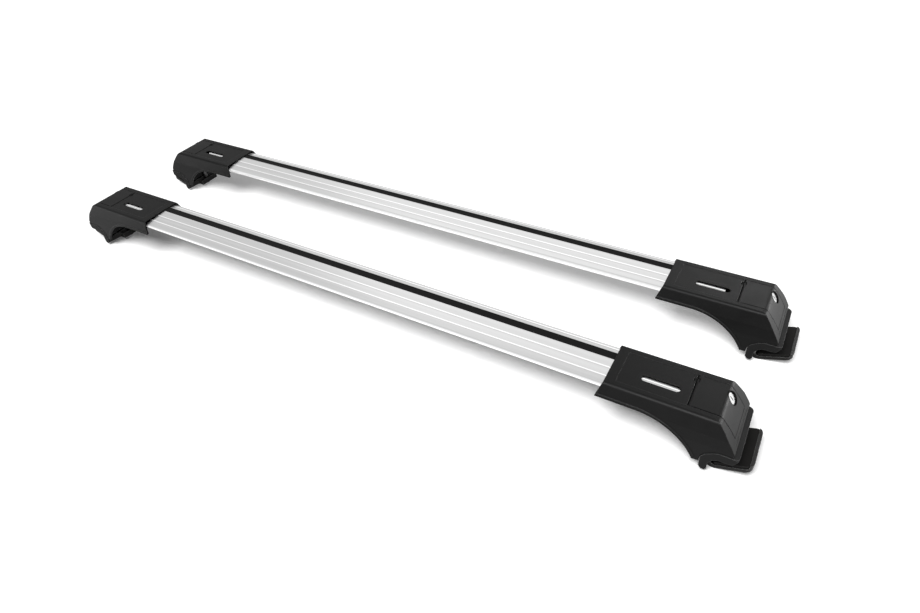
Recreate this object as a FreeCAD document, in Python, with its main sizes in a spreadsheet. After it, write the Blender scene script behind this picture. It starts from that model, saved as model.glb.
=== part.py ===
import FreeCAD, Part
import Sketcher
import math
import os

# Pair of roof crossbars. Millimetres. X runs along the bars, Y from the front bar
# to the rear bar, Z up from the floor. One right-hand foot is drawn in its own frame:
# x from the inner end of its cover outward, y from the middle of the bar, z from the floor.
SIZES = [
    ("front_room", 4.6, "end of the front bar to the stop in its cover"),
    ("rear_room", 17.6, "end of the rear bar to the stop in its cover"),
    ("bar_spacing", 219.0, "distance between the two bars"),
    ("bar_length", 1050.0, "length of each bar"),
    ("bar_bottom", 65.2, "underside of the bar above the floor"),
    ("bar_thick", 19.5, "greatest thickness of the bar"),
    ("bar_half", 37.0, "half the width of the bar"),
    ("bar_flat", 24.0, "half the width of the flat underside"),
    ("nose_drop", 6.4, "widest point of the bar below its top"),
    ("nose_round", 4.8, "rounding of the bar's long edges above the widest point"),
    ("nose_under", 3.0, "rounding of the bar's long edges below the widest point"),
    ("ridge_gap", 15.0, "distance between the raised lines"),
    ("ridge_near", -7.0, "first raised line"),
    ("ridge_far", 29.0, "raised line beyond the strip"),
    ("ridge_wide", 1.6, "width of a raised line"),
    ("ridge_tall", 0.6, "height of a raised line"),
    ("slot_mid", 14.8, "middle of the upper slot"),
    ("strip_wide", 13.0, "visible width of the rubber strip"),
    ("strip_rise", 0.3, "strip above the top of the bar"),
    ("rebate_deep", 1.6, "depth of the seat for the strip's edges"),
    ("slot_mouth", 9.0, "width of the upper slot's mouth"),
    ("slot_wide", 19.0, "inner width of the upper slot"),
    ("slot_lip", 2.5, "thickness of the upper slot's lips"),
    ("slot_deep", 5.5, "inner height of the upper slot"),
    ("guide_mid", -12.0, "middle of the lower slide channel"),
    ("guide_mouth", 9.4, "mouth of the lower channel"),
    ("guide_wide", 17.0, "inner width of the lower channel"),
    ("guide_lip", 2.4, "lip thickness of the lower channel"),
    ("guide_deep", 6.0, "inner height of the lower channel"),
    ("bar_wall", 2.2, "wall of the bar"),
    ("wall", 3.0, "wall of the cover"),
    ("roof", 1.6, "roof of the cover above the bar"),
    ("roof_gap", 0.4, "cover's roof above the strip"),
    ("skirt_up", 0.8, "skirt edge above the underside of the bar"),
    ("top_inset", 3.0, "flat top narrower than the bar, each side"),
    ("flare", 7.4, "skirt edge wider than the bar, each side"),
    ("leg_flare", 8.5, "leg wider than the bar, each side"),
    ("end_step", 5.6, "upright step below the slope"),
    ("leg_wide", 8.0, "width of the leg's lower end"),
    ("panel_border", 6.0, "border beside the shallow panel and the lid"),
    ("boot_long", 36.2, "boot's inner edge to the lower edge of the slope"),
    ("boot_past", 6.8, "boot's lip past the slope"),
    ("boot_proud", 0.7, "boot wider than the leg, each side"),
    ("boot_corner", 6.0, "rounding of the boot's outer corners"),
    ("ear_thick", 10.0, "thickness of the boot's ears"),
    ("ear_low", 5.4, "lower end of the ears"),
    ("jaw_past", 24.8, "jaw's reach past the slope"),
    ("jaw_room", 2.2, "room between jaw and ears"),
    ("bolt_back", 3.5, "bolt's distance from the boot"),
    ("jaw_plate", 5.2, "jaw plate, measured upright at its bend"),
    ("jaw_rise", 14.0, "rise of the jaw to its outer end"),
    ("jaw_lip", 5.6, "height of the jaw's upturned end"),
    ("arm_half", 20.0, "half width of the jaw's arm"),
    ("arm_thick", 10.0, "thickness of the jaw's arm"),
    ("lid_seat", 3.0, "width of the ledge under the lid"),
    ("lid_rest", 0.4, "gap between lid and ledge"),
    ("crease_start", 137.5, "where the top starts to bend down"),
    ("crease_round", 10.0, "radius of that bend"),
    ("crease_turn", 49.0, "degrees turned by that bend"),
    ("slope_round", 186.0, "radius of the sloping end"),
    ("slope_turn", 62.2, "slope angle at its lower edge"),
    ("skirt_back", 7.0, "skirt's reach inboard of the top"),
    ("arch_start", 45.0, "where the arch begins"),
    ("leg_low", 17.0, "lower end of the leg above the floor"),
    ("bead_wide", 3.5, "width of the raised edge along the arch"),
    ("bead_rise", 0.9, "height of that raised edge"),
    ("edge_round", 5.0, "rounding of the long top edges"),
    ("panel_in", 13.0, "start of the shallow top panel"),
    ("panel_deep", 0.4, "depth of the shallow panel"),
    ("window_in", 40.0, "inner end of the window"),
    ("window_out", 89.0, "outer end of the window"),
    ("window_mid", -7.5, "middle of the window"),
    ("window_wide", 10.0, "width of the window"),
    ("lid_in", 102.0, "inner edge of the lid opening"),
    ("lid_gap", 0.45, "gap around the lid"),
    ("lid_turn", 58.9, "slope angle at the lid's lower edge"),
    ("notch_mid", 18.5, "middle of the finger notch"),
    ("notch_wide", 7.0, "width of the finger notch"),
    ("notch_long", 3.0, "length of the finger notch"),
    ("hinge_pin", 2.4, "diameter of the lid's pin"),
    ("play", 0.3, "clearance of moving pieces"),
    ("lock_turn", 50.5, "slope angle at the lock"),
    ("lock_face", 15.0, "diameter of the lock's face"),
    ("lock_sunk", 1.8, "face below the lid"),
    ("lock_deep", 11.0, "depth of the lock's body"),
    ("lock_tail", 6.0, "diameter of the lock's tail"),
    ("cam_long", 17.0, "reach of the lock's cam"),
    ("cam_wide", 9.0, "width of the cam"),
    ("cam_thick", 2.0, "thickness of the cam"),
    ("key_wide", 1.6, "width of the keyway"),
    ("key_long", 7.0, "length of the keyway"),
    ("plate", 4.0, "thickness of the bracket"),
    ("bracket_inset", 2.0, "bracket narrower than the bar, each side"),
    ("bracket_in", 20.0, "inner end of the bracket"),
    ("bolt_wide", 8.0, "diameter of the bolt"),
    ("bolt_low", 1.0, "end of the bolt above the floor"),
    ("head_wide", 13.0, "bolt head across flats"),
    ("head_tall", 8.0, "height of the bolt's head"),
    ("washer_wide", 16.0, "washer diameter"),
    ("washer_thick", 1.6, "washer thickness"),
    ("nut_hex", 13.0, "nut across flats"),
    ("nut_tall", 6.5, "nut height"),
    ("jaw_arm", 16.0, "top of the jaw's arm above the floor"),
    ("jaw_corner", 9.0, "corner rounding of the jaw"),
    ("pad_thick", 4.3, "jaw pad, measured upright"),
    ("screw_first", 30.0, "first bar screw"),
    ("screw_gap", 32.0, "distance between the bar screws"),
    ("screw_head", 5.5, "height of a bar screw's head"),
    ("slide_long", 18.0, "length of a slide nut"),
]

doc = FreeCAD.newDocument("Crossbars")
sheet = doc.addObject("Spreadsheet::Sheet", "Sizes")


class Dim:
    """A size: its number and the sheet expression that gives it."""

    def __init__(self, value, text):
        self.value = float(value)
        self.text = text

    def __add__(self, other):
        other = dim(other)
        return Dim(self.value + other.value, "(" + self.text + " + " + other.text + ")")

    def __sub__(self, other):
        other = dim(other)
        return Dim(self.value - other.value, "(" + self.text + " - " + other.text + ")")

    def __mul__(self, other):
        other = dim(other)
        return Dim(self.value * other.value, "(" + self.text + " * " + other.text + ")")

    def __truediv__(self, other):
        other = dim(other)
        return Dim(self.value / other.value, "(" + self.text + " / " + other.text + ")")

    def __neg__(self):
        return Dim(-self.value, "(0 - " + self.text + ")")

    def __radd__(self, other):
        return dim(other) + self

    def __rsub__(self, other):
        return dim(other) - self


def dim(value):
    """A size from a plain number, or the size itself."""
    if isinstance(value, Dim):
        return value
    return Dim(value, "(" + repr(float(value)) + ")")


def sine(angle):
    return Dim(math.sin(math.radians(angle.value)), "sin(" + angle.text + ")")


def cosine(angle):
    return Dim(math.cos(math.radians(angle.value)), "cos(" + angle.text + ")")


S = {}
for row, (word, number, note) in enumerate(SIZES, 1):
    sheet.set("A%d" % row, word)
    sheet.set("B%d" % row, str(number))
    sheet.set("C%d" % row, note)
    sheet.setAlias("B%d" % row, word)
    S[word] = Dim(number, "Sizes." + word)
doc.recompute()


def place(obj, x=None, y=None, z=None, turn=None):
    """Bind an object's place, and its turn about Y in degrees, to sizes."""
    if turn is not None:
        obj.Placement = FreeCAD.Placement(
            FreeCAD.Vector(), FreeCAD.Rotation(FreeCAD.Vector(0, 1, 0), turn.value))
        obj.setExpression("Placement.Rotation.Angle", turn.text)
    for axis, value in (("x", x), ("y", y), ("z", z)):
        if value is not None:
            obj.setExpression("Placement.Base." + axis, dim(value).text)
    return obj


def draw(sketch, path):
    """Draw a closed outline. Each entry is (x, y) or (x, y, radius, side), where the last
    two make the edge to the next entry an arc with its centre on the left (1) or right (-1)."""
    first = sketch.GeometryCount
    count = len(path)
    ends = []
    for i in range(count):
        here = path[i]
        there = path[(i + 1) % count]
        ax, ay = dim(here[0]).value, dim(here[1]).value
        bx, by = dim(there[0]).value, dim(there[1]).value
        if len(here) == 2:
            edge = Part.LineSegment(FreeCAD.Vector(ax, ay, 0), FreeCAD.Vector(bx, by, 0))
            sketch.addGeometry(edge, False)
            ends.append((1, 2))
            continue
        radius = dim(here[2]).value
        side = here[3]
        span = math.hypot(bx - ax, by - ay)
        rise = math.sqrt(max(radius * radius - span * span / 4.0, 0.0))
        cx = (ax + bx) / 2.0 - side * rise * (by - ay) / span
        cy = (ay + by) / 2.0 + side * rise * (bx - ax) / span
        circle = Part.Circle(FreeCAD.Vector(cx, cy, 0), FreeCAD.Vector(0, 0, 1), radius)
        start = math.atan2(ay - cy, ax - cx)
        stop = math.atan2(by - cy, bx - cx)
        if side > 0:
            sketch.addGeometry(Part.ArcOfCircle(circle, start, stop), False)
            ends.append((1, 2))
        else:
            sketch.addGeometry(Part.ArcOfCircle(circle, stop, start), False)
            ends.append((2, 1))
    for i in range(count):
        after = (i + 1) % count
        sketch.addConstraint(Sketcher.Constraint(
            "Coincident", first + i, ends[i][1], first + after, ends[after][0]))
    for i in range(count):
        for kind, axis, value in (("DistanceX", -2, path[i][0]), ("DistanceY", -1, path[i][1])):
            value = dim(value)
            if abs(value.value) < 1e-9:
                sketch.addConstraint(Sketcher.Constraint(
                    "PointOnObject", first + i, ends[i][0], axis))
                continue
            rule = sketch.addConstraint(Sketcher.Constraint(
                kind, -1, 1, first + i, ends[i][0], value.value))
            sketch.setExpression("Constraints[%d]" % rule, value.text)
        if len(path[i]) > 2:
            radius = dim(path[i][2])
            rule = sketch.addConstraint(Sketcher.Constraint("Radius", first + i, radius.value))
            sketch.setExpression("Constraints[%d]" % rule, radius.text)


def pad(name, plane, paths, length):
    """A body padded evenly to both sides of one of its origin planes."""
    body = doc.addObject("PartDesign::Body", name)
    sketch = body.newObject("Sketcher::SketchObject", name + "_outline")
    for feature in body.Origin.OriginFeatures:
        if feature.Role == plane + "_Plane":
            sketch.AttachmentSupport = [(feature, "")]
    sketch.MapMode = "FlatFace"
    for path in paths:
        draw(sketch, path)
    solid = body.newObject("PartDesign::Pad", name + "_pad")
    solid.Profile = sketch
    solid.SideType = "Symmetric"
    solid.setExpression("Length", dim(length).text)
    body.Tip = solid
    return body


def turned(name, path):
    """A body turned about its own Z axis from a half section drawn as (radius, height)."""
    body = doc.addObject("PartDesign::Body", name)
    sketch = body.newObject("Sketcher::SketchObject", name + "_section")
    for feature in body.Origin.OriginFeatures:
        if feature.Role == "XZ_Plane":
            sketch.AttachmentSupport = [(feature, "")]
    sketch.MapMode = "FlatFace"
    draw(sketch, path)
    solid = body.newObject("PartDesign::Revolution", name + "_turn")
    solid.Profile = sketch
    solid.ReferenceAxis = (sketch, ["V_Axis"])
    solid.Angle = 360.0
    body.Tip = solid
    return body


def box(name, x0, x1, y0, y1, z0, z1):
    """A block between two corners."""
    made = doc.addObject("Part::Box", name)
    made.setExpression("Length", (dim(x1) - x0).text)
    made.setExpression("Width", (dim(y1) - y0).text)
    made.setExpression("Height", (dim(z1) - z0).text)
    return place(made, x0, y0, z0)


def rod(name, diameter, x, y, z0, z1):
    """An upright cylinder."""
    made = doc.addObject("Part::Cylinder", name)
    made.setExpression("Radius", (dim(diameter) / 2).text)
    made.setExpression("Height", (dim(z1) - z0).text)
    return place(made, x, y, z0)


def cross_rod(name, diameter, x, z, length):
    """A cylinder lying across the foot, along Y."""
    made = doc.addObject("Part::Cylinder", name)
    made.Placement = FreeCAD.Placement(
        FreeCAD.Vector(), FreeCAD.Rotation(FreeCAD.Vector(1, 0, 0), -90))
    made.setExpression("Radius", (dim(diameter) / 2).text)
    made.setExpression("Height", dim(length).text)
    return place(made, x, -dim(length) / 2, z)


def hexagon(name, flats, x, y, z0, z1):
    """An upright hexagonal prism, sized across its flats."""
    made = doc.addObject("Part::Prism", name)
    made.Polygon = 6
    made.setExpression("Circumradius", (dim(flats) / Dim(math.sqrt(3.0), "sqrt(3)")).text)
    made.setExpression("Height", (dim(z1) - z0).text)
    return place(made, x, y, z0)


def cut(name, base, *tools):
    """The base with the tools taken away."""
    tool = tools[0]
    if len(tools) > 1:
        tool = fuse(name + "_tools", *tools)
    made = doc.addObject("Part::Cut", name)
    made.Base = base
    made.Tool = tool
    return made


def fuse(name, *shapes):
    made = doc.addObject("Part::MultiFuse", name)
    made.Shapes = list(shapes)
    made.Refine = True
    return made


def common(name, *shapes):
    made = doc.addObject("Part::MultiCommon", name)
    made.Shapes = list(shapes)
    return made


def group(name, *shapes):
    made = doc.addObject("Part::Compound", name)
    made.Links = list(shapes)
    return made


# Bar: one hollow section with raised lines, an upper slot and a lower slide channel
low = S["bar_bottom"]
high = low + S["bar_thick"]
mouth = S["slot_mouth"] / 2
seat = S["strip_wide"] / 2
room = S["slot_wide"] / 2
mid = S["slot_mid"]
lip_top = high - S["rebate_deep"]
lip_low = lip_top - S["slot_lip"]
slot_low = lip_low - S["slot_deep"]
gmid = S["guide_mid"]
gmouth = S["guide_mouth"] / 2
groom = S["guide_wide"] / 2
guide_lip = low + S["guide_lip"]
guide_top = guide_lip + S["guide_deep"]
half = S["bar_half"]
rw = S["ridge_wide"] / 2
rt = S["ridge_tall"]
near1 = S["ridge_near"]
near2 = near1 - S["ridge_gap"]
far1 = S["ridge_far"]
nose_r = S["nose_round"]
nose_u = S["nose_under"]
nose = high - S["nose_drop"]
outline = [
    (-S["bar_flat"], low),
    (gmid - gmouth, low), (gmid - gmouth, guide_lip), (gmid - groom, guide_lip),
    (gmid - groom, guide_top), (gmid + groom, guide_top), (gmid + groom, guide_lip),
    (gmid + gmouth, guide_lip), (gmid + gmouth, low),
    (S["bar_flat"], low), (half - 4, nose - nose_u * 0.8, nose_u, 1), (half, nose, nose_r, 1),
    (half - 3.2, high - 2.4),
    (far1 + rw, high - 1.6), (far1 + rw, high - 1.6 + rt), (far1 - rw, high - 1.4 + rt),
    (far1 - rw, high - 1.4),
    (mid + seat, high), (mid + seat, lip_top), (mid + mouth, lip_top), (mid + mouth, lip_low),
    (mid + room, lip_low), (mid + room, slot_low), (mid - room, slot_low), (mid - room, lip_low),
    (mid - mouth, lip_low), (mid - mouth, lip_top), (mid - seat, lip_top), (mid - seat, high),
    (near1 + rw, high - 0.7), (near1 + rw, high - 0.7 + rt), (near1 - rw, high - 0.8 + rt),
    (near1 - rw, high - 0.8),
    (near2 + rw, high - 1.6), (near2 + rw, high - 1.6 + rt), (near2 - rw, high - 1.7 + rt),
    (near2 - rw, high - 1.7),
    (-half + 3.2, high - 3.0, nose_r, 1), (-half, nose, nose_u, 1), (-half + 4, nose - nose_u * 0.8),
]
w = S["bar_wall"]
near_room = [
    (gmid - groom - w, low + 4.2), (gmid - groom - w, high - 4.2), (-half + 5, high - 5.2),
    (-half + 2.6, nose), (-half + 6, nose - 0.8),
]
top_room = [
    (gmid - groom - w + 4, guide_top + w), (mid - room - w, guide_top + w),
    (mid - room - w, high - 3.2), (gmid - groom - w + 4, high - 4.2),
]
low_room = [
    (gmid + groom + w, low + w), (S["bar_flat"], low + w), (mid + room, low + 4),
    (mid + room, slot_low - w), (gmid + groom + w, slot_low - w),
]
far_room = [
    (mid + room + w, low + 6.2), (half - 6, nose - 0.8), (half - 2.6, nose),
    (half - 5, high - 4.6), (mid + room + w, high - 4.2),
]
bar = pad("bar", "YZ", [outline, near_room, top_room, low_room, far_room], S["bar_length"])

# Strip: a flat cap in its seat, a neck in the mouth and two barbs under the lips
slack = dim(0.1)
cap = high + S["strip_rise"]
strip = pad("strip", "YZ", [[
    (mid - seat + slack, lip_top), (mid - mouth + slack, lip_top), (mid - mouth + slack, lip_low - 0.2),
    (mid - mouth - 1.4, lip_low - 0.2), (mid - mouth + 1.2, lip_low - 2.4),
    (mid + mouth - 1.2, lip_low - 2.4), (mid + mouth + 1.4, lip_low - 0.2),
    (mid + mouth - slack, lip_low - 0.2), (mid + mouth - slack, lip_top),
    (mid + seat - slack, lip_top), (mid + seat - slack, high - 0.3), (mid + seat - 1.2, cap),
    (mid - seat + 1.2, cap), (mid - seat + slack, high - 0.3)]], S["bar_length"])

# Sloping end of a foot: a small bend at the crease, then a wide arc
top = cap + S["roof_gap"] + S["roof"]
skirt_low = low + S["skirt_up"]
top_half = half - S["top_inset"]
flare_half = half + S["flare"]
foot_half = half + S["leg_flare"]
boot_half = foot_half + S["boot_proud"]
panel_half = top_half - S["panel_border"]
lid_thick = S["wall"] - S["lid_rest"]
bend_x = S["crease_start"]
bend_z = top - S["crease_round"]
reach = S["crease_round"] - S["slope_round"]
arc_x = bend_x + reach * sine(S["crease_turn"])
arc_z = bend_z + reach * cosine(S["crease_turn"])


def crease(depth):
    """End of the crease bend, at a depth below the outer face."""
    radius = S["crease_round"] - depth
    return (bend_x + radius * sine(S["crease_turn"]), bend_z + radius * cosine(S["crease_turn"]))


def slope(angle, depth):
    """Point of the sloping end at a slope angle and a depth below the outer face."""
    radius = S["slope_round"] - depth
    return (arc_x + radius * sine(angle), arc_z + radius * cosine(angle))


def skin(start, depth):
    """Top, crease and slope as the start of an outline, from a point on the top."""
    return [
        (start, top - depth),
        (bend_x, top - depth, S["crease_round"] - depth, -1),
        crease(depth) + (S["slope_round"] - depth, -1),
    ]


def back(start, angle, depth):
    """The same run of the outline, taken backwards up the slope."""
    return [
        slope(angle, depth) + (S["slope_round"] - depth, 1),
        crease(depth) + (S["crease_round"] - depth, 1),
        (bend_x, top - depth),
        (start, top - depth),
    ]


# Cover: side outline and cross-section meet in one solid, hollowed by the same pair drawn smaller
wide = boot_half * 2 + 20
end_x, end_z = slope(S["slope_turn"], dim(0))
seat_z = end_z - S["end_step"]
heel = end_x - S["boot_long"]
leg_out = heel - 1
leg_in = leg_out - S["leg_wide"]
boot_line = [
    (heel + 19, seat_z), (heel + 12, seat_z - 3), (heel + 4, seat_z - 9), (heel, seat_z - 15),
]
arch_x = S["arch_start"]
arch_run = leg_in - arch_x
leg_low = S["leg_low"]
arch_drop = skirt_low - leg_low
arch_round = (arch_run * arch_run + arch_drop * arch_drop) / (arch_drop * 2)
arch_z = skirt_low - arch_round
side = pad("cover_side", "XZ", [
    skin(dim(0), dim(0)) + [(end_x, end_z), (end_x, seat_z)] + boot_line
    + [(leg_out, leg_low), (leg_in, leg_low, arch_round, 1),
       (arch_x, skirt_low), (-S["skirt_back"], skirt_low)]], wide)


def section(grow, rise):
    """Half-open cross-section of the cover, grown sideways and raised."""
    y0 = top_half
    y1 = top_half + S["edge_round"] * 0.95 + grow
    y2 = flare_half + grow
    y3 = foot_half + grow
    z0 = top + rise
    z1 = top - S["edge_round"] * 0.69 + rise * 0.3
    z2 = skirt_low + rise * 0.2
    curve = S["edge_round"] + grow
    return [
        (-y3, dim(-5)), (y3, dim(-5)), (y3, end_z), (y2, z2), (y1, z1, curve, 1), (y0, z0),
        (-y0, z0, curve, 1), (-y1, z1), (-y2, z2), (-y3, end_z),
    ]


long = end_x * 2 + 140
round_outer = pad("cover_round", "YZ", [section(dim(0), dim(0))], long)
outer = common("cover_outer", side, round_outer)
inner_end = slope(S["slope_turn"], S["wall"])
inner_side = pad("cavity_side", "XZ", [
    skin(dim(-20), S["wall"]) + [inner_end, (inner_end[0], dim(-5)), (dim(-20), dim(-5))]], wide)
inner_round = pad("cavity_round", "YZ", [section(-S["wall"], -S["wall"])], long)
cavity = common("cover_cavity", inner_side, inner_round)
bar_room = common("bar_room", box("bar_room_block", -20, S["lid_in"] - 2.4, -foot_half, foot_half,
                                  low, top - S["roof"]),
                  pad("bar_room_round", "YZ", [section(-S["wall"], -S["roof"])], long))
shell = cut("cover_shell", outer, cavity, bar_room)

bead_r = arch_round + S["bead_wide"]
bead_out = (leg_in - arch_x) / arch_round * bead_r + arch_x
bead_low = (leg_low - arch_z) / arch_round * bead_r + arch_z
bead_side = pad("bead_side", "XZ", [[
    (-S["skirt_back"], skirt_low), (arch_x, skirt_low, arch_round, -1),
    (leg_in, leg_low), (bead_out, bead_low, bead_r, 1),
    (arch_x, skirt_low + S["bead_wide"]),
    (-S["skirt_back"] + 1, skirt_low + S["bead_wide"])]], wide)
bead_round = pad("bead_round", "YZ", [section(S["bead_rise"], dim(0))], long)
inner_round2 = pad("bead_inner", "YZ", [section(-S["wall"] + 1, -S["wall"])], long)
bead = cut("bead", common("bead_full", bead_side, bead_round), inner_round2)

lid_half = panel_half - S["lid_gap"]
ledge_deep = S["wall"] + 2
ledge_path = skin(S["lid_in"] + 7, S["wall"] - 0.2) + [
    slope(S["lid_turn"], S["wall"] - 0.2)] + back(S["lid_in"] + 7, S["lid_turn"], ledge_deep)[:3] + [
    (S["lid_in"] + 7, top - ledge_deep)]
ledges = []
for word, sign in (("near", -1), ("far", 1)):
    ledge = pad("ledge_" + word, "XZ", [ledge_path], S["lid_seat"] * 2)
    place(ledge, None, panel_half * sign, None)
    ledges.append(ledge)
stop_x = S["lid_in"] - 2.4
bulk = common("bulkhead", box("bulkhead_block", stop_x, stop_x + 1.8, -foot_half, foot_half, low + 0.7, top - 1),
              pad("bulkhead_round", "YZ", [section(dim(-1), dim(-1))], long))
hinge_x = S["lid_in"] + S["lid_gap"] + lid_thick
hinge_z = top - lid_thick
bosses = []
for word, sign in (("near", -1), ("far", 1)):
    y = (panel_half + 2.7) * sign
    bosses.append(box("pin_boss_" + word, hinge_x - 2.5, hinge_x + 2.5, y - 2.3, y + 2.3,
                      top - 6, top - 2))

lock_x, lock_z = slope(S["lock_turn"], dim(0))
lock_body = S["lock_face"] - 2.2
sink = S["lock_face"] + 2.4
boss_out = sink + 2.4
lock_mid = panel_half - S["lid_seat"] - 0.5 - boss_out / 2
keeper_block = box("keeper_block", -6, 6, panel_half - lock_mid - 0.7, foot_half - lock_mid,
                   -S["lock_deep"] + 0.6, -S["lock_deep"] + 3.4)
keeper_spot = place(group("keeper_spot", keeper_block), lock_x, lock_mid, lock_z, S["lock_turn"])
keeper = common("keeper", keeper_spot, pad("keeper_round", "YZ", [section(dim(-1), dim(-1))], long))

whole = fuse("cover_whole", shell, bead, bulk, keeper, *(ledges + bosses))

window_r = S["window_wide"] / 2
window = pad("window", "XY", [[
    (S["window_in"] + window_r, S["window_mid"] - window_r),
    (S["window_out"] - window_r, S["window_mid"] - window_r, window_r, 1),
    (S["window_out"], S["window_mid"], window_r, 1),
    (S["window_out"] - window_r, S["window_mid"] + window_r),
    (S["window_in"] + window_r, S["window_mid"] + window_r, window_r, 1),
    (S["window_in"], S["window_mid"], window_r, 1)]], dim(20))
place(window, None, None, top)
panel = box("panel", S["panel_in"], S["lid_in"], -panel_half, panel_half,
            top - S["panel_deep"], top + 5)
notch_y = S["notch_wide"] / 2
notch = box("notch", S["lid_in"] - S["notch_long"], S["lid_in"] + 1, S["notch_mid"] - notch_y,
            S["notch_mid"] + notch_y, top - 2.2, top + 5)
groove_turn = (S["lid_turn"] + S["slope_turn"]) / 2 + 0.3
groove = pad("slope_groove", "XZ", [[
    slope(groove_turn - 0.16, dim(-2)), slope(groove_turn + 0.16, dim(-2)),
    slope(groove_turn + 0.16, dim(0.6)), slope(groove_turn - 0.16, dim(0.6))]], panel_half * 2 + 10)
open_turn = S["lid_turn"] + 0.15
open_skin = pad("lid_opening", "XZ", [
    skin(S["lid_in"], dim(-4)) + [slope(open_turn, dim(-4))]
    + back(S["lid_in"], open_turn, S["wall"] + 0.02)], panel_half * 2)
open_deep = pad("lid_passage", "XZ", [
    skin(S["lid_in"], dim(-4)) + [slope(open_turn, dim(-4))]
    + back(S["lid_in"], open_turn, S["wall"] + 6)], (panel_half - S["lid_seat"]) * 2)
hinge_long = panel_half * 2 + 6
pin_hole = cross_rod("pin_hole", S["hinge_pin"] + 0.1, hinge_x, hinge_z, hinge_long + 0.4)
cover = cut("cover", whole, window, panel, notch, groove, open_skin, open_deep, pin_hole)

# Lid: a bent panel with a rolled hinge edge and a boss for the lock
panel_skin = pad("lid_skin", "XZ", [
    skin(hinge_x, dim(0)) + [slope(S["lid_turn"], dim(0))]
    + back(hinge_x, S["lid_turn"], lid_thick)], lid_half * 2)
roll = cross_rod("lid_roll", lid_thick * 2, hinge_x, hinge_z, lid_half * 2)
boss = rod("lock_boss", boss_out, 0, 0, -S["lock_deep"] + 1.5, -0.8)
boss_spot = place(group("lock_boss_spot", boss), lock_x, lock_mid, lock_z, S["lock_turn"])
lock_room = fuse("lock_room", rod("lock_bore", lock_body + S["play"] * 2, 0, 0, -20, 1),
                 rod("lock_sink", sink, 0, 0, -lid_thick - 1.4, 5))
room_spot = place(group("lock_room_spot", lock_room), lock_x, lock_mid, lock_z, S["lock_turn"])
pin_room = cross_rod("pin_room", S["hinge_pin"] + S["play"] * 2, hinge_x, hinge_z, hinge_long + 8)
lid_notch = box("lid_notch", S["lid_in"], S["lid_in"] + S["notch_long"] + 1, S["notch_mid"] - notch_y,
                S["notch_mid"] + notch_y, top - 0.9, top + 5)
lid = cut("lid", fuse("lid_whole", panel_skin, roll, boss_spot), room_spot, pin_room, lid_notch)
hinge = cross_rod("hinge", S["hinge_pin"], hinge_x, hinge_z, hinge_long)

# Lock: a stepped barrel with a keyway, and a flat cam on its tail
face = -S["lock_sunk"]
shoulder = -lid_thick - 1.4 + S["play"]
deep = -S["lock_deep"]
barrel_form = turned("barrel_form", [
    (dim(0), deep - 3), (S["lock_tail"] / 2, deep - 3), (S["lock_tail"] / 2, deep),
    (lock_body / 2, deep), (lock_body / 2, shoulder), (S["lock_face"] / 2, shoulder),
    (S["lock_face"] / 2, face), (dim(0), face)])
keyway = box("keyway", -S["key_long"] / 2, S["key_long"] / 2, -S["key_wide"] / 2,
             S["key_wide"] / 2, face - 3, face + 1)
barrel = place(group("barrel", cut("barrel_cut", barrel_form, keyway)),
               lock_x, lock_mid, lock_z, S["lock_turn"])
cam_half = S["cam_wide"] / 2
cam_form = pad("cam_form", "XY", [[
    (dim(0), -cam_half), (S["cam_long"] - 3, -cam_half), (S["cam_long"], -cam_half + 3),
    (S["cam_long"], cam_half - 3), (S["cam_long"] - 3, cam_half), (dim(0), cam_half, cam_half, 1),
    (-cam_half, dim(0), cam_half, 1)]], S["cam_thick"])
cam_flat = place(group("cam_flat", cam_form), None, None, deep - S["cam_thick"] / 2)
cam_hole = rod("cam_hole", S["lock_tail"] + 0.1, 0, 0, deep - 5, deep + 2)
cam = place(group("cam", cut("cam_cut", cam_flat, cam_hole)),
            lock_x, lock_mid, lock_z, S["lock_turn"])

# Bracket: one folded plate from the bar down to the boot
flange = low - S["play"]
base_top = seat_z + S["plate"]
bolt_x = heel - S["bolt_back"]
fold_x = bolt_x - S["washer_wide"] / 2 - 4.4
bracket_half = half - S["bracket_inset"]
strap = pad("bracket_fold", "XZ", [[
    (S["bracket_in"], flange - S["plate"]), (stop_x - 2.1, flange - S["plate"]),
    (fold_x - 2.1, seat_z), (end_x - 7.2, seat_z), (end_x - 7.2, base_top), (fold_x, base_top),
    (stop_x, flange), (S["bracket_in"], flange)]], bracket_half * 2)
screw_y = S["guide_mid"]
screw_xs = (S["screw_first"], S["screw_first"] + S["screw_gap"])
holes = [rod("bolt_hole", S["bolt_wide"] + 1, bolt_x, 0, seat_z - 1, base_top + 1)]
for i, x in enumerate(screw_xs):
    holes.append(rod("screw_hole_%d" % i, S["bolt_wide"] + 1, x, screw_y, flange - 8, flange + 1))
bracket = cut("bracket", strap, *holes)

# Boot: rubber block on the rail with two ears that guide the jaw
boot_form = pad("boot_form", "XZ", [[
    (heel, seat_z - 15), (heel + 4, seat_z - 9), (heel + 12, seat_z - 3), (heel + 19, seat_z),
    (end_x, seat_z), (end_x + S["boot_past"], seat_z - 1),
    (end_x + S["boot_past"] - 0.4, seat_z - 4.5), (end_x + 0.8, seat_z - 11),
    (end_x - 6.2, seat_z - 12), (heel + 21, seat_z - 12), (heel + 14, seat_z - 15.5),
    (heel + 10.5, seat_z - 22), (heel + 10.5, S["ear_low"] + 2.6), (heel + 8, S["ear_low"]),
    (heel + 4, S["ear_low"]), (heel + 0.4, S["ear_low"] + 4.6)]], boot_half * 2)
ear_in = boot_half - S["ear_thick"]
arm = S["jaw_arm"]
lip_x = end_x + S["boot_past"]
lip_r = S["boot_corner"]
boot_plan = pad("boot_plan", "XY", [[
    (heel - 5, -boot_half), (lip_x - lip_r, -boot_half, lip_r, 1), (lip_x, -boot_half + lip_r),
    (lip_x, boot_half - lip_r, lip_r, 1), (lip_x - lip_r, boot_half), (heel - 5, boot_half)]], dim(120))
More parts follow.
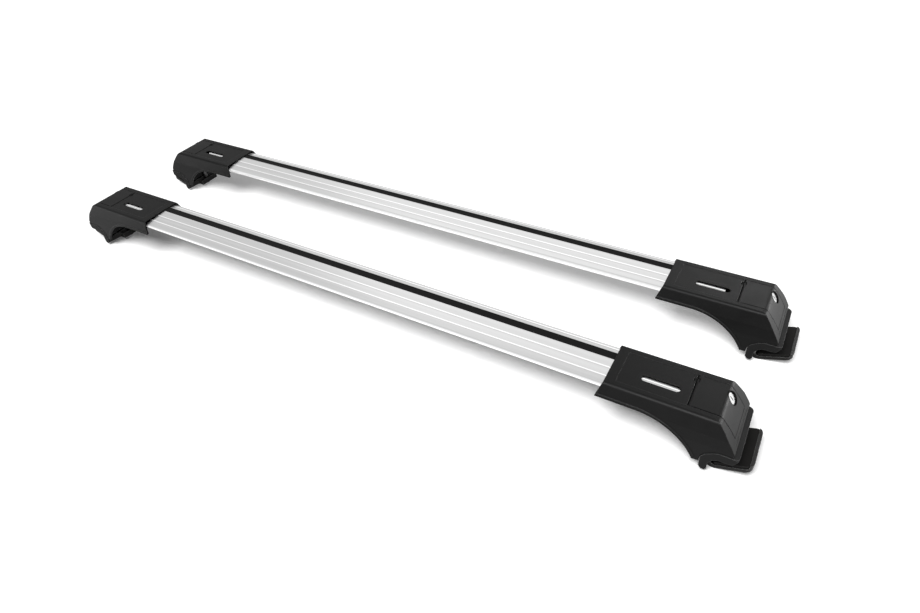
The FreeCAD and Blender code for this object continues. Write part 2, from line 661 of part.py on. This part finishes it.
boot = cut("boot", common("boot_round", boot_form, boot_plan),
           box("ear_gap", heel - 3, heel + 12, -ear_in, ear_in, 0, arm + 4),
           rod("boot_hole", S["bolt_wide"] + 2, bolt_x, 0, 0, seat_z + 1))

# Jaw: bent plate with an upturned end, its arm holds the nut
out = end_x + S["jaw_past"]
jh = ear_in - S["jaw_room"]
plate_end = out - 4.5
plate_high = S["jaw_plate"] + S["jaw_rise"]
jaw_form = pad("jaw_form", "XZ", [[
    (bolt_x - 9.5, arm), (heel + 2, arm), (heel + 17, S["jaw_plate"]), (plate_end, plate_high),
    (plate_end, plate_high + S["jaw_lip"]), (out, plate_high + S["jaw_lip"]),
    (out, S["jaw_rise"] + 1), (heel + 19, dim(0)), (heel + 14, dim(0)),
    (heel + 1, arm - S["arm_thick"]), (bolt_x - 9.5, arm - S["arm_thick"])]], jh * 2)
corner = S["jaw_corner"]
arm_half = S["arm_half"]
jaw_plan = pad("jaw_plan", "XY", [[
    (heel - 33, -arm_half), (heel - 1, -arm_half), (heel + 8, -jh), (out - corner, -jh, corner, 1),
    (out, -jh + corner), (out, jh - corner, corner, 1), (out - corner, jh), (heel + 8, jh),
    (heel - 1, arm_half), (heel - 33, arm_half)]], dim(120))
nut_roof = arm - 3
fall = (S["jaw_rise"] + 1) / (out - heel - 19)
ribs = []
for i, back_by in enumerate((6.5, 12.5)):
    rib_x = out - back_by
    rib_z = fall * (rib_x - heel - 19)
    ribs.append(box("jaw_rib_%d" % i, rib_x - 1.4, rib_x + 1.4, -jh + 6, jh - 6, rib_z - 2.2, rib_z + 2))
jaw = cut("jaw", fuse("jaw_whole", common("jaw_round", jaw_form, jaw_plan), *ribs),
          hexagon("nut_pocket", S["nut_hex"] + 0.2, bolt_x, 0, arm - S["arm_thick"] - 2, nut_roof),
          rod("jaw_hole", S["bolt_wide"] + 1, bolt_x, 0, 0, arm + 1))
pad_form = pad("pad_form", "XZ", [[
    (heel + 17, S["jaw_plate"]), (plate_end, plate_high), (plate_end, plate_high + S["pad_thick"]),
    (heel + 17, S["jaw_plate"] + S["pad_thick"])]], (jh - 1) * 2)
pad_plan = pad("pad_plan", "XY", [[
    (heel - 33, -jh + 1), (out - corner, -jh + 1, corner - 1, 1), (out - 1, -jh + corner),
    (out - 1, jh - corner, corner - 1, 1), (out - corner, jh - 1), (heel - 33, jh - 1)]], dim(120))
jaw_pad = common("jaw_pad", pad_form, pad_plan)
nut = cut("nut", hexagon("nut_form", S["nut_hex"], bolt_x, 0, nut_roof - S["nut_tall"], nut_roof),
          rod("nut_hole", S["bolt_wide"] + S["play"] * 2, bolt_x, 0, 0, 40))

# Clamp bolt with a hexagon head, and the washer under it
washer_top = base_top + S["washer_thick"]
head_low = washer_top + S["play"]
shank = turned("bolt_shank", [
    (dim(0), S["bolt_low"]), (S["bolt_wide"] / 2 - 0.8, S["bolt_low"]),
    (S["bolt_wide"] / 2, S["bolt_low"] + 0.8), (S["bolt_wide"] / 2, head_low + 1),
    (dim(0), head_low + 1)])
head = hexagon("bolt_head", S["head_wide"], 0, 0, head_low, head_low + S["head_tall"])
bolt = place(group("bolt", fuse("bolt_whole", shank, head)), bolt_x, None, None)
washer = cut("washer", rod("washer_form", S["washer_wide"], bolt_x, 0, base_top, washer_top),
             rod("washer_hole", S["bolt_wide"] + S["play"] * 2, bolt_x, 0, base_top - 1, washer_top + 1))

# Bar screws from below into slide nuts that run in the bar's lower channel
plate_low = flange - S["plate"]
slide_low = guide_lip + S["play"]
slide_top = guide_top - S["play"]
screws = []
slides = []
for i, x in enumerate(screw_xs):
    screws.append(fuse(
        "screw_%d" % i,
        hexagon("screw_head_%d" % i, S["nut_hex"], x, screw_y, plate_low - S["screw_head"], plate_low),
        rod("screw_body_%d" % i, S["bolt_wide"], x, screw_y, plate_low, slide_top - 0.3)))
    slides.append(cut(
        "slide_%d" % i,
        box("slide_form_%d" % i, x - S["slide_long"] / 2, x + S["slide_long"] / 2,
            screw_y - groom + S["play"], screw_y + groom - S["play"], slide_low, slide_top),
        rod("slide_hole_%d" % i, S["bolt_wide"] + 0.1, x, screw_y, slide_low - 1, slide_top + 1)))
bar_screws = group("bar_screws", *screws)
slide_nuts = group("slide_nuts", *slides)

# Every node: the pieces of four feet, left ones mirrored, then the bars and strips
PIECES = [
    ("cover", cover), ("lid", lid), ("hinge_pin", hinge), ("lock_barrel", barrel),
    ("lock_cam", cam), ("bracket", bracket), ("boot", boot), ("jaw", jaw), ("jaw_pad", jaw_pad),
    ("clamp_bolt", bolt), ("clamp_washer", washer), ("clamp_nut", nut),
    ("bar_screws", bar_screws), ("slide_nuts", slide_nuts),
]
front_half = S["bar_length"] / 2 - stop_x + S["front_room"]
rear_half = S["bar_length"] / 2 - stop_x + S["rear_room"]
nodes = []
for word, shape in PIECES:
    flipped = doc.addObject("Part::Mirroring", word + "_flipped")
    flipped.Source = shape
    flipped.Base = FreeCAD.Vector(0, 0, 0)
    flipped.Normal = FreeCAD.Vector(1, 0, 0)
    for bar_word, reach_x, side_y in (("front", front_half, -1), ("rear", rear_half, 1)):
        right = group(bar_word + "_right_" + word, shape)
        place(right, reach_x, S["bar_spacing"] * side_y / 2, None)
        left = group(bar_word + "_left_" + word, flipped)
        place(left, -reach_x, S["bar_spacing"] * side_y / 2, None)
        nodes.extend([right, left])
for bar_word, side_y in (("front", -1), ("rear", 1)):
    for word, shape in (("bar", bar), ("strip", strip)):
        node = group(bar_word + "_" + word, shape)
        place(node, None, S["bar_spacing"] * side_y / 2, None)
        nodes.append(node)

doc.recompute()
for obj in doc.Objects:
    if "Invalid" in obj.State or "Error" in obj.State:
        raise RuntimeError("not built: " + obj.Name + " " + str(obj.State))
os.makedirs("parts", exist_ok=True)
for node in nodes:
    node.Label = node.Name
    if node.Shape.isNull() or not node.Shape.isValid():
        raise RuntimeError("bad shape: " + node.Name)
    node.Shape.exportStep("parts/" + node.Label + ".step")
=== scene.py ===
import bpy
import math
import numpy as np
from collections import namedtuple
from mathutils import Matrix, Vector


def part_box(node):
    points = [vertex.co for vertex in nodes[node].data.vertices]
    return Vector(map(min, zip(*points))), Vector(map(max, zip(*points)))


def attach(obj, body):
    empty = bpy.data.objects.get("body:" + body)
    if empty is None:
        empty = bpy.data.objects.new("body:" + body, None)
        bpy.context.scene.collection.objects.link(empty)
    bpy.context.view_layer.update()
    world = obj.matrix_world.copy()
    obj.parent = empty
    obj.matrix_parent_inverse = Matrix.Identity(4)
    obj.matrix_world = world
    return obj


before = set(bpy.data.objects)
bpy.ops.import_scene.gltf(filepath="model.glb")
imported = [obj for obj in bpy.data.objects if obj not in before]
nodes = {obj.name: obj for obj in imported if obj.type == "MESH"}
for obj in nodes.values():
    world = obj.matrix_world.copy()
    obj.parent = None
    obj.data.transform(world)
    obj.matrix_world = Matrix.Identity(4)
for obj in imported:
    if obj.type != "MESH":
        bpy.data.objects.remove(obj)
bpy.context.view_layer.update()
scene = bpy.context.scene
scene.view_settings.view_transform = "Standard"

BARS = ("front", "rear")
FEET = tuple(bar + "_" + side for bar in BARS for side in ("right", "left"))


def middle(node, axis):
    """The middle of a node's box along x, y or z, to a tenth of a millimetre."""
    low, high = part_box(node)
    return round((getattr(low, axis) + getattr(high, axis)) / 2, 4)


# Sizes, in metres
BAR_OUT = middle("rear_bar", "y")
RAISED_LINES = (-0.022, -0.007, 0.029)
RAISED_HALF = 0.0011
SEAM_START = 0.007
THREAD_PITCH = 0.00125
THREAD_ROOT = 0.00393
THREAD_CREST = 0.00415
THREAD_LOW = 0.0022
THREAD_HIGH = 0.0400
FLOOR_HALF = 6.0
FLOOR_HEIGHT = -0.0006

# Values without a unit
DULL = 1.0
EDGE_SAMPLES = 6
FLANK_START = 0.45
MASK_GAIN = 3.0
WIDE_POWER = 3.0
THREAD_STEPS = 36
WHITE = (1, 1, 1, 1)

# Camera, found from the photograph: place in metres, angles in degrees, focal length in its pixels
CAMERA_PLACE = (0.56874, -0.69396, 0.69213)
CAMERA_TURN = 32.026
CAMERA_TILT = 40.788
CAMERA_ROLL = -3.987
FOCAL_PIXELS = 638.417
PICTURE_WIDTH = 920.0
SENSOR_WIDTH = 36.0
NEAREST = 0.01


# Helpers for shader trees

def feed(tree, socket, value):
    """Links the socket to another one, or sets it to a number or a colour."""
    if isinstance(value, bpy.types.NodeSocket):
        tree.links.new(value, socket)
    else:
        socket.default_value = value


def math_node(tree, work, a, b=0.0):
    """The result of one arithmetic step."""
    node = tree.nodes.new("ShaderNodeMath")
    node.operation = work
    feed(tree, node.inputs[0], a)
    feed(tree, node.inputs[1], b)
    return node.outputs[0]


def zero_to_one(tree, value):
    """The value, kept between 0 and 1."""
    return math_node(tree, "MINIMUM", math_node(tree, "MAXIMUM", value, 0.0), 1.0)


def mix_node(tree, kind, share, a, b):
    """A blend from a to b; kind is RGBA for colours and FLOAT for numbers."""
    node = tree.nodes.new("ShaderNodeMix")
    node.data_type = kind
    feed(tree, node.inputs["Factor"], share)
    feed(tree, node.inputs["A"], a)
    feed(tree, node.inputs["B"], b)
    return node.outputs["Result"]


def object_place(tree):
    """Where a point lies on its object."""
    return tree.nodes.new("ShaderNodeTexCoord").outputs["Object"]


def split(tree, vector):
    """The X, Y and Z outputs of a vector."""
    node = tree.nodes.new("ShaderNodeSeparateXYZ")
    tree.links.new(vector, node.inputs[0])
    return node.outputs


def place_noise(tree, start, stretch, scale, detail):
    """Noise on object coordinates, moved by start and stretched along the axes."""
    mapping = tree.nodes.new("ShaderNodeMapping")
    mapping.inputs["Scale"].default_value = stretch
    mapping.inputs["Location"].default_value = start
    tree.links.new(object_place(tree), mapping.inputs["Vector"])
    noise = tree.nodes.new("ShaderNodeTexNoise")
    noise.inputs["Detail"].default_value = detail
    feed(tree, noise.inputs["Scale"], scale)
    tree.links.new(mapping.outputs["Vector"], noise.inputs["Vector"])
    return noise.outputs["Fac"]


def around(tree, noise, spread, base):
    """base + spread * (noise - 0.5)"""
    lean = math_node(tree, "SUBTRACT", noise, 0.5)
    lean = math_node(tree, "MULTIPLY", lean, spread)
    return math_node(tree, "ADD", lean, base)


def grey(level, warm=0.0):
    """A near-neutral colour."""
    return (level * (1 + warm), level, level * (1 - warm), 1.0)


# Shared shader groups

FLOAT = "NodeSocketFloat"
COLOUR = "NodeSocketColor"
VECTOR = "NodeSocketVector"
SURFACE = (("Color", COLOUR), ("Roughness", FLOAT), ("Height", FLOAT))


def new_group(name, inputs, outputs):
    """An empty shader group, with the values that its inputs start from."""
    tree = bpy.data.node_groups.new(name, "ShaderNodeTree")
    for word, kind, value in inputs:
        socket = tree.interface.new_socket(name=word, in_out="INPUT", socket_type=kind)
        socket.default_value = value
    for word, kind in outputs:
        tree.interface.new_socket(name=word, in_out="OUTPUT", socket_type=kind)
    given = tree.nodes.new("NodeGroupInput").outputs
    result = tree.nodes.new("NodeGroupOutput").inputs
    return tree, given, result


def rounded_edges_rim_paint():
    """Soft edge normal and a mask that is strong where the surface turns sharply.
    The materials paint their rims in a colour by this mask: lighter rims are painted highlight and wear, the
    lids' black rims are painted shade of the seam round them.
    mask = (1 - dot(rounded normal, face normal)) * strength, broken up by noise and kept between 0 and 1.
    wide is 2 where |x| is more than Wide From, and else 1; it multiplies the radius, and its third power
    multiplies the strength."""
    tree, given, result = new_group("rounded_edges_rim_paint", (
        ("Edge Radius", FLOAT, 0.0008),
        ("Wear", FLOAT, 6.0),
        ("Wide From", FLOAT, 10.0),
    ), (("Normal", VECTOR), ("Edge", FLOAT)))
    reach = math_node(tree, "ABSOLUTE", split(tree, object_place(tree))["X"])
    wide = math_node(tree, "GREATER_THAN", reach, given["Wide From"])
    wide = math_node(tree, "ADD", wide, 1.0)
    rounded = tree.nodes.new("ShaderNodeBevel")
    rounded.samples = EDGE_SAMPLES
    feed(tree, rounded.inputs["Radius"], math_node(tree, "MULTIPLY", given["Edge Radius"], wide))
    faces = tree.nodes.new("ShaderNodeNewGeometry")
    match = tree.nodes.new("ShaderNodeVectorMath")
    match.operation = "DOT_PRODUCT"
    tree.links.new(rounded.outputs["Normal"], match.inputs[0])
    tree.links.new(faces.outputs["Normal"], match.inputs[1])
    bend = math_node(tree, "SUBTRACT", 1.0, match.outputs["Value"])
    patchy = place_noise(tree, (0.7, 0.4, 0.1), (1, 1, 1), scale=160.0, detail=4.0)
    wear = math_node(tree, "MULTIPLY", given["Wear"], math_node(tree, "POWER", wide, WIDE_POWER))
    mask = math_node(tree, "MULTIPLY", bend, wear)
    mask = math_node(tree, "MULTIPLY", mask, patchy)
    tree.links.new(rounded.outputs["Normal"], result["Normal"])
    tree.links.new(zero_to_one(tree, mask), result["Edge"])
    return tree


def moulded_grain():
    """Spark-eroded grain of moulded plastic: fine height, roughness and faint tone patches.
    height = fine noise; roughness = base + spread * (patches - 0.5); colour = mix(dark, light, patches)."""
    tree, given, result = new_group("moulded_grain", (
        ("Grain Scale", FLOAT, 1500.0),
        ("Base Roughness", FLOAT, 0.5),
        ("Spread", FLOAT, 0.1),
        ("Dark", COLOUR, grey(0.01)),
        ("Light", COLOUR, grey(0.02)),
    ), SURFACE)
    fine = place_noise(tree, (0, 0, 0), (1, 1, 1), given["Grain Scale"], detail=3.0)
    patches = place_noise(tree, (0.3, 0.1, 0.2), (1, 1, 1), scale=38.0, detail=4.0)
    rough = around(tree, patches, given["Spread"], given["Base Roughness"])
    tree.links.new(mix_node(tree, "RGBA", patches, given["Dark"], given["Light"]), result["Color"])
    tree.links.new(rough, result["Roughness"])
    tree.links.new(fine, result["Height"])
    return tree


def drawn_lines_painted_highlight():
    """Fine lines left by the extrusion die, along X, with a painted highlight on the flanks and the raised
    lines.
    colour = mix(mix(Dark, Light, broad lines), highlight colour, bright); bright, the painted highlight, is
    the larger of the flank mask, 3 * (|normal y| - 0.45), and a ramp near each raised line, 3 * (1 - distance
    / 1.1 mm), both kept 0 to 1.
    height = fine lines; roughness = base + spread * (fine lines - 0.5)."""
    tree, given, result = new_group("drawn_lines_painted_highlight", (
        ("Base Roughness", FLOAT, 0.35),
        ("Spread", FLOAT, 0.2),
        ("Dark", COLOUR, grey(0.6)),
        ("Light", COLOUR, grey(0.8)),
        ("Painted Highlight", COLOUR, grey(0.95)),
    ), SURFACE)
    fine = place_noise(tree, (0, 0, 0), (1.5, 900, 900), scale=1.0, detail=3.0)
    broad = place_noise(tree, (0, 0.2, 0), (0.8, 120, 120), scale=1.0, detail=3.0)
    # Painted highlight: faces that turn towards +Y or -Y are painted brighter, up to the highlight colour.
    faces = tree.nodes.new("ShaderNodeNewGeometry")
    flank = math_node(tree, "ABSOLUTE", split(tree, faces.outputs["Normal"])["Y"])
    flank = math_node(tree, "SUBTRACT", flank, FLANK_START)
    bright = zero_to_one(tree, math_node(tree, "MULTIPLY", flank, MASK_GAIN))
    place_y = split(tree, object_place(tree))["Y"]
    bar_y = math_node(tree, "MULTIPLY", math_node(tree, "SIGN", place_y), BAR_OUT)
    across = math_node(tree, "SUBTRACT", place_y, bar_y)
    # Painted highlight along each raised line.
    for line in RAISED_LINES:
        off = math_node(tree, "ABSOLUTE", math_node(tree, "SUBTRACT", across, line))
        crest = math_node(tree, "SUBTRACT", 1.0, math_node(tree, "DIVIDE", off, RAISED_HALF))
        crest = zero_to_one(tree, math_node(tree, "MULTIPLY", crest, MASK_GAIN))
        bright = math_node(tree, "MAXIMUM", bright, crest)
    tone = mix_node(tree, "RGBA", broad, given["Dark"], given["Light"])
    rough = around(tree, fine, given["Spread"], given["Base Roughness"])
    tree.links.new(mix_node(tree, "RGBA", bright, tone, given["Painted Highlight"]), result["Color"])
    tree.links.new(rough, result["Roughness"])
    tree.links.new(fine, result["Height"])
    return tree


GRAIN = moulded_grain()
LINES = drawn_lines_painted_highlight()
EDGES = rounded_edges_rim_paint()


# Finishes

Rim = namedtuple("Rim", "radius wear colour seam_from", defaults=(None,))


def group_node(tree, group, values):
    """A shared group in a material's tree, with its inputs set."""
    node = tree.nodes.new("ShaderNodeGroup")
    node.node_tree = group
    for word, value in values.items():
        node.inputs[word].default_value = value
    return node


def finish_material(name, group, values, metallic=0.0, specular=0.5, bump=0.1, distance=0.0002, rim=None):
    """A material whose colour, roughness and bump come from one shared group.
    With a rim, its edges are softened and turn to the rim's colour: a lighter rim is painted highlight and
    wear, a black one painted shade. With seam_from as well, the rim is dull and takes less sheen, which
    paints the shade of the seam, and it is wider and stronger where |x| is more than that."""
    material = bpy.data.materials.new(name)
    material.use_nodes = True
    tree = material.node_tree
    shader = tree.nodes["Principled BSDF"]
    shader.inputs["Metallic"].default_value = metallic
    shader.inputs["Specular IOR Level"].default_value = specular
    effect = group_node(tree, group, values)
    height = tree.nodes.new("ShaderNodeBump")
    height.inputs["Strength"].default_value = bump
    height.inputs["Distance"].default_value = distance
    tone = effect.outputs["Color"]
    rough = effect.outputs["Roughness"]
    if rim is not None:
        rim_node = group_node(tree, EDGES, {"Edge Radius": rim.radius, "Wear": rim.wear})
        # The edges take the rim's colour: painted highlight and wear where the rim is lighter, painted shade
        # where it is black.
        tone = mix_node(tree, "RGBA", rim_node.outputs["Edge"], tone, rim.colour)
        tree.links.new(rim_node.outputs["Normal"], height.inputs["Normal"])
        # Painted shade of the seam: the rim turns dull, and Metallic on its black colour takes away its
        # sheen.
        if rim.seam_from is not None:
            rim_node.inputs["Wide From"].default_value = rim.seam_from
            rough = mix_node(tree, "FLOAT", rim_node.outputs["Edge"], rough, DULL)
            tree.links.new(rim_node.outputs["Edge"], shader.inputs["Metallic"])
    tree.links.new(tone, shader.inputs["Base Color"])
    tree.links.new(rough, shader.inputs["Roughness"])
    tree.links.new(effect.outputs["Height"], height.inputs["Height"])
    tree.links.new(height.outputs["Normal"], shader.inputs["Normal"])
    return material


def grained(scale, roughness, spread, dark, light):
    """Input values of the moulded grain."""
    return {"Grain Scale": scale, "Base Roughness": roughness, "Spread": spread, "Dark": dark, "Light": light}


# The bars: the drawn lines and broad tone are the metal's own; the brightest colour is a painted highlight on
# the flanks and raised lines.
anodised = finish_material(
    "anodised_bar", LINES,
    {"Base Roughness": 0.32, "Spread": 0.20, "Dark": grey(0.48), "Light": grey(0.67), "Painted Highlight": grey(0.95)},
    metallic=1.0, bump=0.12, distance=0.00005)
# Painted highlight and wear: the cover's edges are painted lighter in the rim's colour.
cover_black = finish_material(
    "satin_cover", GRAIN, grained(1700.0, 0.48, 0.14, grey(0.0025), grey(0.0050)),
    specular=0.08, bump=0.25, distance=0.00012, rim=Rim(0.0016, 2.0, grey(0.05)))
lid_black = {}
for bar in BARS:
    hinge_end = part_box(bar + "_right_lid")[0].x
    # Painted shade: each lid's rim turns dull black, wider and stronger beyond the hinge, so that the narrow
    # gap round the lid reads as a dark seam.
    lid_black[bar] = finish_material(
        "satin_lid_" + bar, GRAIN, grained(1700.0, 0.45, 0.14, grey(0.0025), grey(0.0050)),
        specular=0.08, bump=0.25, distance=0.00012,
        rim=Rim(0.0010, 4.5, grey(0.0), hinge_end + SEAM_START))
strip_rubber = finish_material(
    "strip_rubber", GRAIN, grained(900.0, 0.78, 0.15, grey(0.0035), grey(0.0075)),
    specular=0.12, bump=0.2)
# Painted highlight and wear: the boot's edges are painted lighter in the rim's colour.
boot_rubber = finish_material(
    "boot_rubber", GRAIN, grained(1100.0, 0.66, 0.18, grey(0.003), grey(0.006)),
    specular=0.10, bump=0.25, rim=Rim(0.0014, 6.0, grey(0.09)))
# Painted highlight and wear: the pad's edges are painted lighter in the rim's colour.
pad_rubber = finish_material(
    "pad_rubber", GRAIN, grained(1000.0, 0.62, 0.18, grey(0.003, 0.06), grey(0.006, 0.06)),
    specular=0.08, bump=0.25, rim=Rim(0.0010, 2.0, grey(0.035)))
# Painted highlight and wear: the jaw's and bracket's edges are painted lighter in the rim's colour.
black_coat = finish_material(
    "black_coat", GRAIN, grained(1400.0, 0.45, 0.15, grey(0.004, 0.05), grey(0.008, 0.05)),
    specular=0.12, bump=0.3, distance=0.00015, rim=Rim(0.0014, 6.0, grey(0.12)))
# Painted highlight and wear: the zinc parts' edges are painted lighter in the rim's colour.
zinc = finish_material(
    "dark_zinc", GRAIN, grained(600.0, 0.38, 0.25, grey(0.10), grey(0.17)),
    metallic=1.0, distance=0.0001, rim=Rim(0.0005, 3.0, grey(0.35)))
# Painted highlight and wear: the lock's edges are painted lighter in the rim's colour.
lock_chrome = finish_material(
    "lock_chrome", GRAIN, grained(800.0, 0.24, 0.12, grey(0.58), grey(0.72)),
    metallic=1.0, bump=0.03, distance=0.0001, rim=Rim(0.0005, 3.0, grey(0.95)))

FINISH = {
    "bar": anodised, "strip": strip_rubber, "cover": cover_black, "lock_barrel": lock_chrome,
    "bracket": black_coat, "boot": boot_rubber, "jaw": black_coat, "jaw_pad": pad_rubber,
    "hinge_pin": zinc, "lock_cam": zinc, "clamp_bolt": zinc, "clamp_washer": zinc,
    "clamp_nut": zinc, "bar_screws": zinc, "slide_nuts": zinc,
}
for name, obj in nodes.items():
    bar, word = name.split("_", 1)
    word = word.removeprefix("right_").removeprefix("left_")
    finish = lid_black[bar] if word == "lid" else FINISH[word]
    for spot in obj.material_slots:
        spot.material = finish


# Thread on the clamp bolts, which the solids leave plain

def thread_ridge(place_x, place_y):
    """A ridge wound round an upright bolt, as a tube of four corners swept along a helix.
    At angle a the height is low + pitch * a / (2 pi); the corners are (root, -0.42 pitch),
    (crest, -0.08 pitch), (crest, +0.08 pitch) and (root, +0.42 pitch) in radius and height, and the
    crest sinks to the root over the first and the last turn."""
    turns = (THREAD_HIGH - THREAD_LOW) / THREAD_PITCH
    angle = np.linspace(0.0, 2 * np.pi * turns, int(turns * THREAD_STEPS) + 1)
    ease = np.clip(np.minimum(angle, angle[-1] - angle) / (2 * np.pi), 0.05, 1.0)
    tip = THREAD_ROOT + (THREAD_CREST - THREAD_ROOT) * ease
    base = np.full_like(angle, THREAD_ROOT)
    radius = np.stack([base, tip, tip, base], axis=1)
    rise = np.array([-0.42, -0.08, 0.08, 0.42]) * THREAD_PITCH
    height = THREAD_LOW + THREAD_PITCH * angle[:, None] / (2 * np.pi) + rise[None, :]
    points_x = place_x + radius * np.cos(angle)[:, None]
    points_y = place_y + radius * np.sin(angle)[:, None]
    points = np.stack([points_x, points_y, height], axis=2).reshape(-1, 3)
    start = np.arange(len(angle) - 1)[:, None] * 4
    corner = np.arange(4)[None, :]
    after = (corner + 1) % 4
    quads = [start + corner, start + 4 + corner, start + 4 + after, start + after]
    faces = np.stack(quads, axis=2).reshape(-1, 4).tolist()
    last = len(points) - 4
    caps = [[0, 1, 2, 3], [last + 3, last + 2, last + 1, last]]
    return points.tolist(), faces + caps


for foot in FEET:
    bolt = foot + "_clamp_bolt"
    points, faces = thread_ridge(middle(bolt, "x"), middle(bolt, "y"))
    mesh = bpy.data.meshes.new(foot + "_bolt_thread")
    mesh.from_pydata(points, [], faces)
    mesh.materials.append(zinc)
    thread = bpy.data.objects.new(foot + "_bolt_thread", mesh)
    scene.collection.objects.link(thread)
    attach(thread, foot + "_bolt")


# Studio: white behind, pale floor, soft lamps

def white_where_seen(tree, base, plain):
    """Shows the plain shader to camera, glossy and transmission rays, and the base to all others."""
    path = tree.nodes.new("ShaderNodeLightPath")
    seen = math_node(tree, "MAXIMUM", path.outputs["Is Camera Ray"], path.outputs["Is Glossy Ray"])
    seen = math_node(tree, "MAXIMUM", seen, path.outputs["Is Transmission Ray"])
    mixer = tree.nodes.new("ShaderNodeMixShader")
    tree.links.new(seen, mixer.inputs["Fac"])
    tree.links.new(base, mixer.inputs[1])
    tree.links.new(plain, mixer.inputs[2])
    return mixer.outputs["Shader"]


def white_world(lit, seen):
    """A white world, with one strength for lighting and one for being seen."""
    world = bpy.data.worlds.new("studio")
    scene.world = world
    world.use_nodes = True
    tree = world.node_tree
    soft = tree.nodes["Background"]
    bright = tree.nodes.new("ShaderNodeBackground")
    for node, strength in ((soft, lit), (bright, seen)):
        node.inputs["Color"].default_value = WHITE
        node.inputs["Strength"].default_value = strength
    mixed = white_where_seen(tree, soft.outputs["Background"], bright.outputs["Background"])
    tree.links.new(mixed, tree.nodes["World Output"].inputs["Surface"])


def smooth_rise(tree, value, start, end, top):
    """A smooth rise from 0 at start to top at end."""
    node = tree.nodes.new("ShaderNodeMapRange")
    node.interpolation_type = "SMOOTHSTEP"
    node.inputs["From Min"].default_value = start
    node.inputs["From Max"].default_value = end
    node.inputs["To Min"].default_value = 0.0
    node.inputs["To Max"].default_value = top
    tree.links.new(value, node.inputs["Value"])
    return node.outputs["Result"]


def floor_material():
    """Pale matt floor that glows, where it is seen, away from the middle and behind the front bar."""
    material = bpy.data.materials.new("pale_floor")
    material.use_nodes = True
    tree = material.node_tree
    tree.nodes.remove(tree.nodes["Principled BSDF"])
    matt = tree.nodes.new("ShaderNodeBsdfDiffuse")
    matt.inputs["Color"].default_value = grey(0.93)
    place = object_place(tree)
    away = tree.nodes.new("ShaderNodeVectorMath")
    away.operation = "LENGTH"
    tree.links.new(place, away.inputs[0])
    far = smooth_rise(tree, away.outputs["Value"], start=0.35, end=1.7, top=0.95)
    behind = smooth_rise(tree, split(tree, place)["Y"], start=-0.16, end=0.10, top=0.17)
    glow = tree.nodes.new("ShaderNodeEmission")
    tree.links.new(math_node(tree, "ADD", far, behind), glow.inputs["Strength"])
    both = tree.nodes.new("ShaderNodeAddShader")
    tree.links.new(matt.outputs["BSDF"], both.inputs[0])
    tree.links.new(glow.outputs["Emission"], both.inputs[1])
    mixed = white_where_seen(tree, matt.outputs["BSDF"], both.outputs["Shader"])
    tree.links.new(mixed, tree.nodes["Material Output"].inputs["Surface"])
    return material


def node_collection(name, endings):
    """A collection of the nodes whose names end so, for a lamp that lights only these."""
    group = bpy.data.collections.new(name)
    for node, obj in nodes.items():
        if node.endswith(endings):
            group.objects.link(obj)
    return group


def softbox(name, place, target, size, power, shines=False, mirrored=True, only=None):
    """A rectangular lamp aimed at a point.
    It shines on matt surfaces, is mirrored in glossy ones, or lights only some parts."""
    lamp = bpy.data.lights.new(name, "AREA")
    lamp.shape = "RECTANGLE"
    lamp.size, lamp.size_y = size
    lamp.energy = power
    obj = bpy.data.objects.new(name, lamp)
    aim = (Vector(target) - Vector(place)).to_track_quat("-Z", "Y")
    obj.matrix_world = Matrix.Translation(place) @ aim.to_matrix().to_4x4()
    obj.visible_diffuse = shines
    obj.visible_glossy = mirrored
    if only is not None:
        obj.light_linking.receiver_collection = only
    scene.collection.objects.link(obj)


white_world(lit=0.16, seen=1.0)

floor_mesh = bpy.data.meshes.new("floor")
signs = ((-1, -1), (1, -1), (1, 1), (-1, 1))
corners = [(x * FLOOR_HALF, y * FLOOR_HALF, FLOOR_HEIGHT) for x, y in signs]
floor_mesh.from_pydata(corners, [], [(0, 1, 2, 3)])
floor = bpy.data.objects.new("floor", floor_mesh)
scene.collection.objects.link(floor)
floor_mesh.materials.append(floor_material())

black_parts = node_collection("black_parts", ("_cover", "_lid", "_boot", "_jaw", "_jaw_pad"))
bare_metal = node_collection("bare_metal", ("_bar", "_lock_barrel"))
softbox("front_key", place=(0.25, -1.24, 1.95), target=(0, 0, 0), size=(1.2, 0.9), power=78.0,
        shines=True, mirrored=False)
softbox("right_side", place=(2.1, 1.2, 0.5), target=(0.5, 0, 0.05), size=(1.2, 0.7), power=58.0,
        only=black_parts)
softbox("back_glow", place=(-0.4, 1.35, 1.5), target=(0.2, 0, 0.08), size=(1.9, 1.2), power=3.4,
        only=bare_metal)
softbox("front_sheen", place=(0.7, -1.3, 1.35), target=(0.1, 0, 0.05), size=(1.6, 0.35), power=100.0,
        only=black_parts)
softbox("back_sheen", place=(0.6, 1.55, 1.2), target=(0.5, 0, 0.08), size=(0.6, 0.5), power=10.0,
        only=black_parts)
softbox("left_side", place=(-1.6, -0.8, 0.2), target=(-0.5, 0, 0.05), size=(0.6, 0.4), power=5.0,
        only=black_parts)


# Camera at the photograph's viewing angle

def photo_camera():
    """A camera turned from +Y, tilted down and rolled about its view."""
    turn = math.radians(CAMERA_TURN)
    tilt = math.radians(CAMERA_TILT)
    roll = math.radians(CAMERA_ROLL)
    level = math.cos(tilt)
    ahead = Vector((-math.sin(turn) * level, math.cos(turn) * level, -math.sin(tilt)))
    right = ahead.cross(Vector((0, 0, 1))).normalized()
    above = right.cross(ahead)
    right_rolled = right * math.cos(roll) + above * math.sin(roll)
    above_rolled = above * math.cos(roll) - right * math.sin(roll)
    data = bpy.data.cameras.new("camera")
    data.sensor_width = SENSOR_WIDTH
    data.lens = SENSOR_WIDTH * FOCAL_PIXELS / PICTURE_WIDTH
    data.clip_start = NEAREST
    camera = bpy.data.objects.new("camera", data)
    axes = Matrix((right_rolled, above_rolled, -ahead)).transposed()
    camera.matrix_world = Matrix.Translation(CAMERA_PLACE) @ axes.to_4x4()
    scene.collection.objects.link(camera)
    return camera


scene.camera = photo_camera()

bpy.context.view_layer.update()
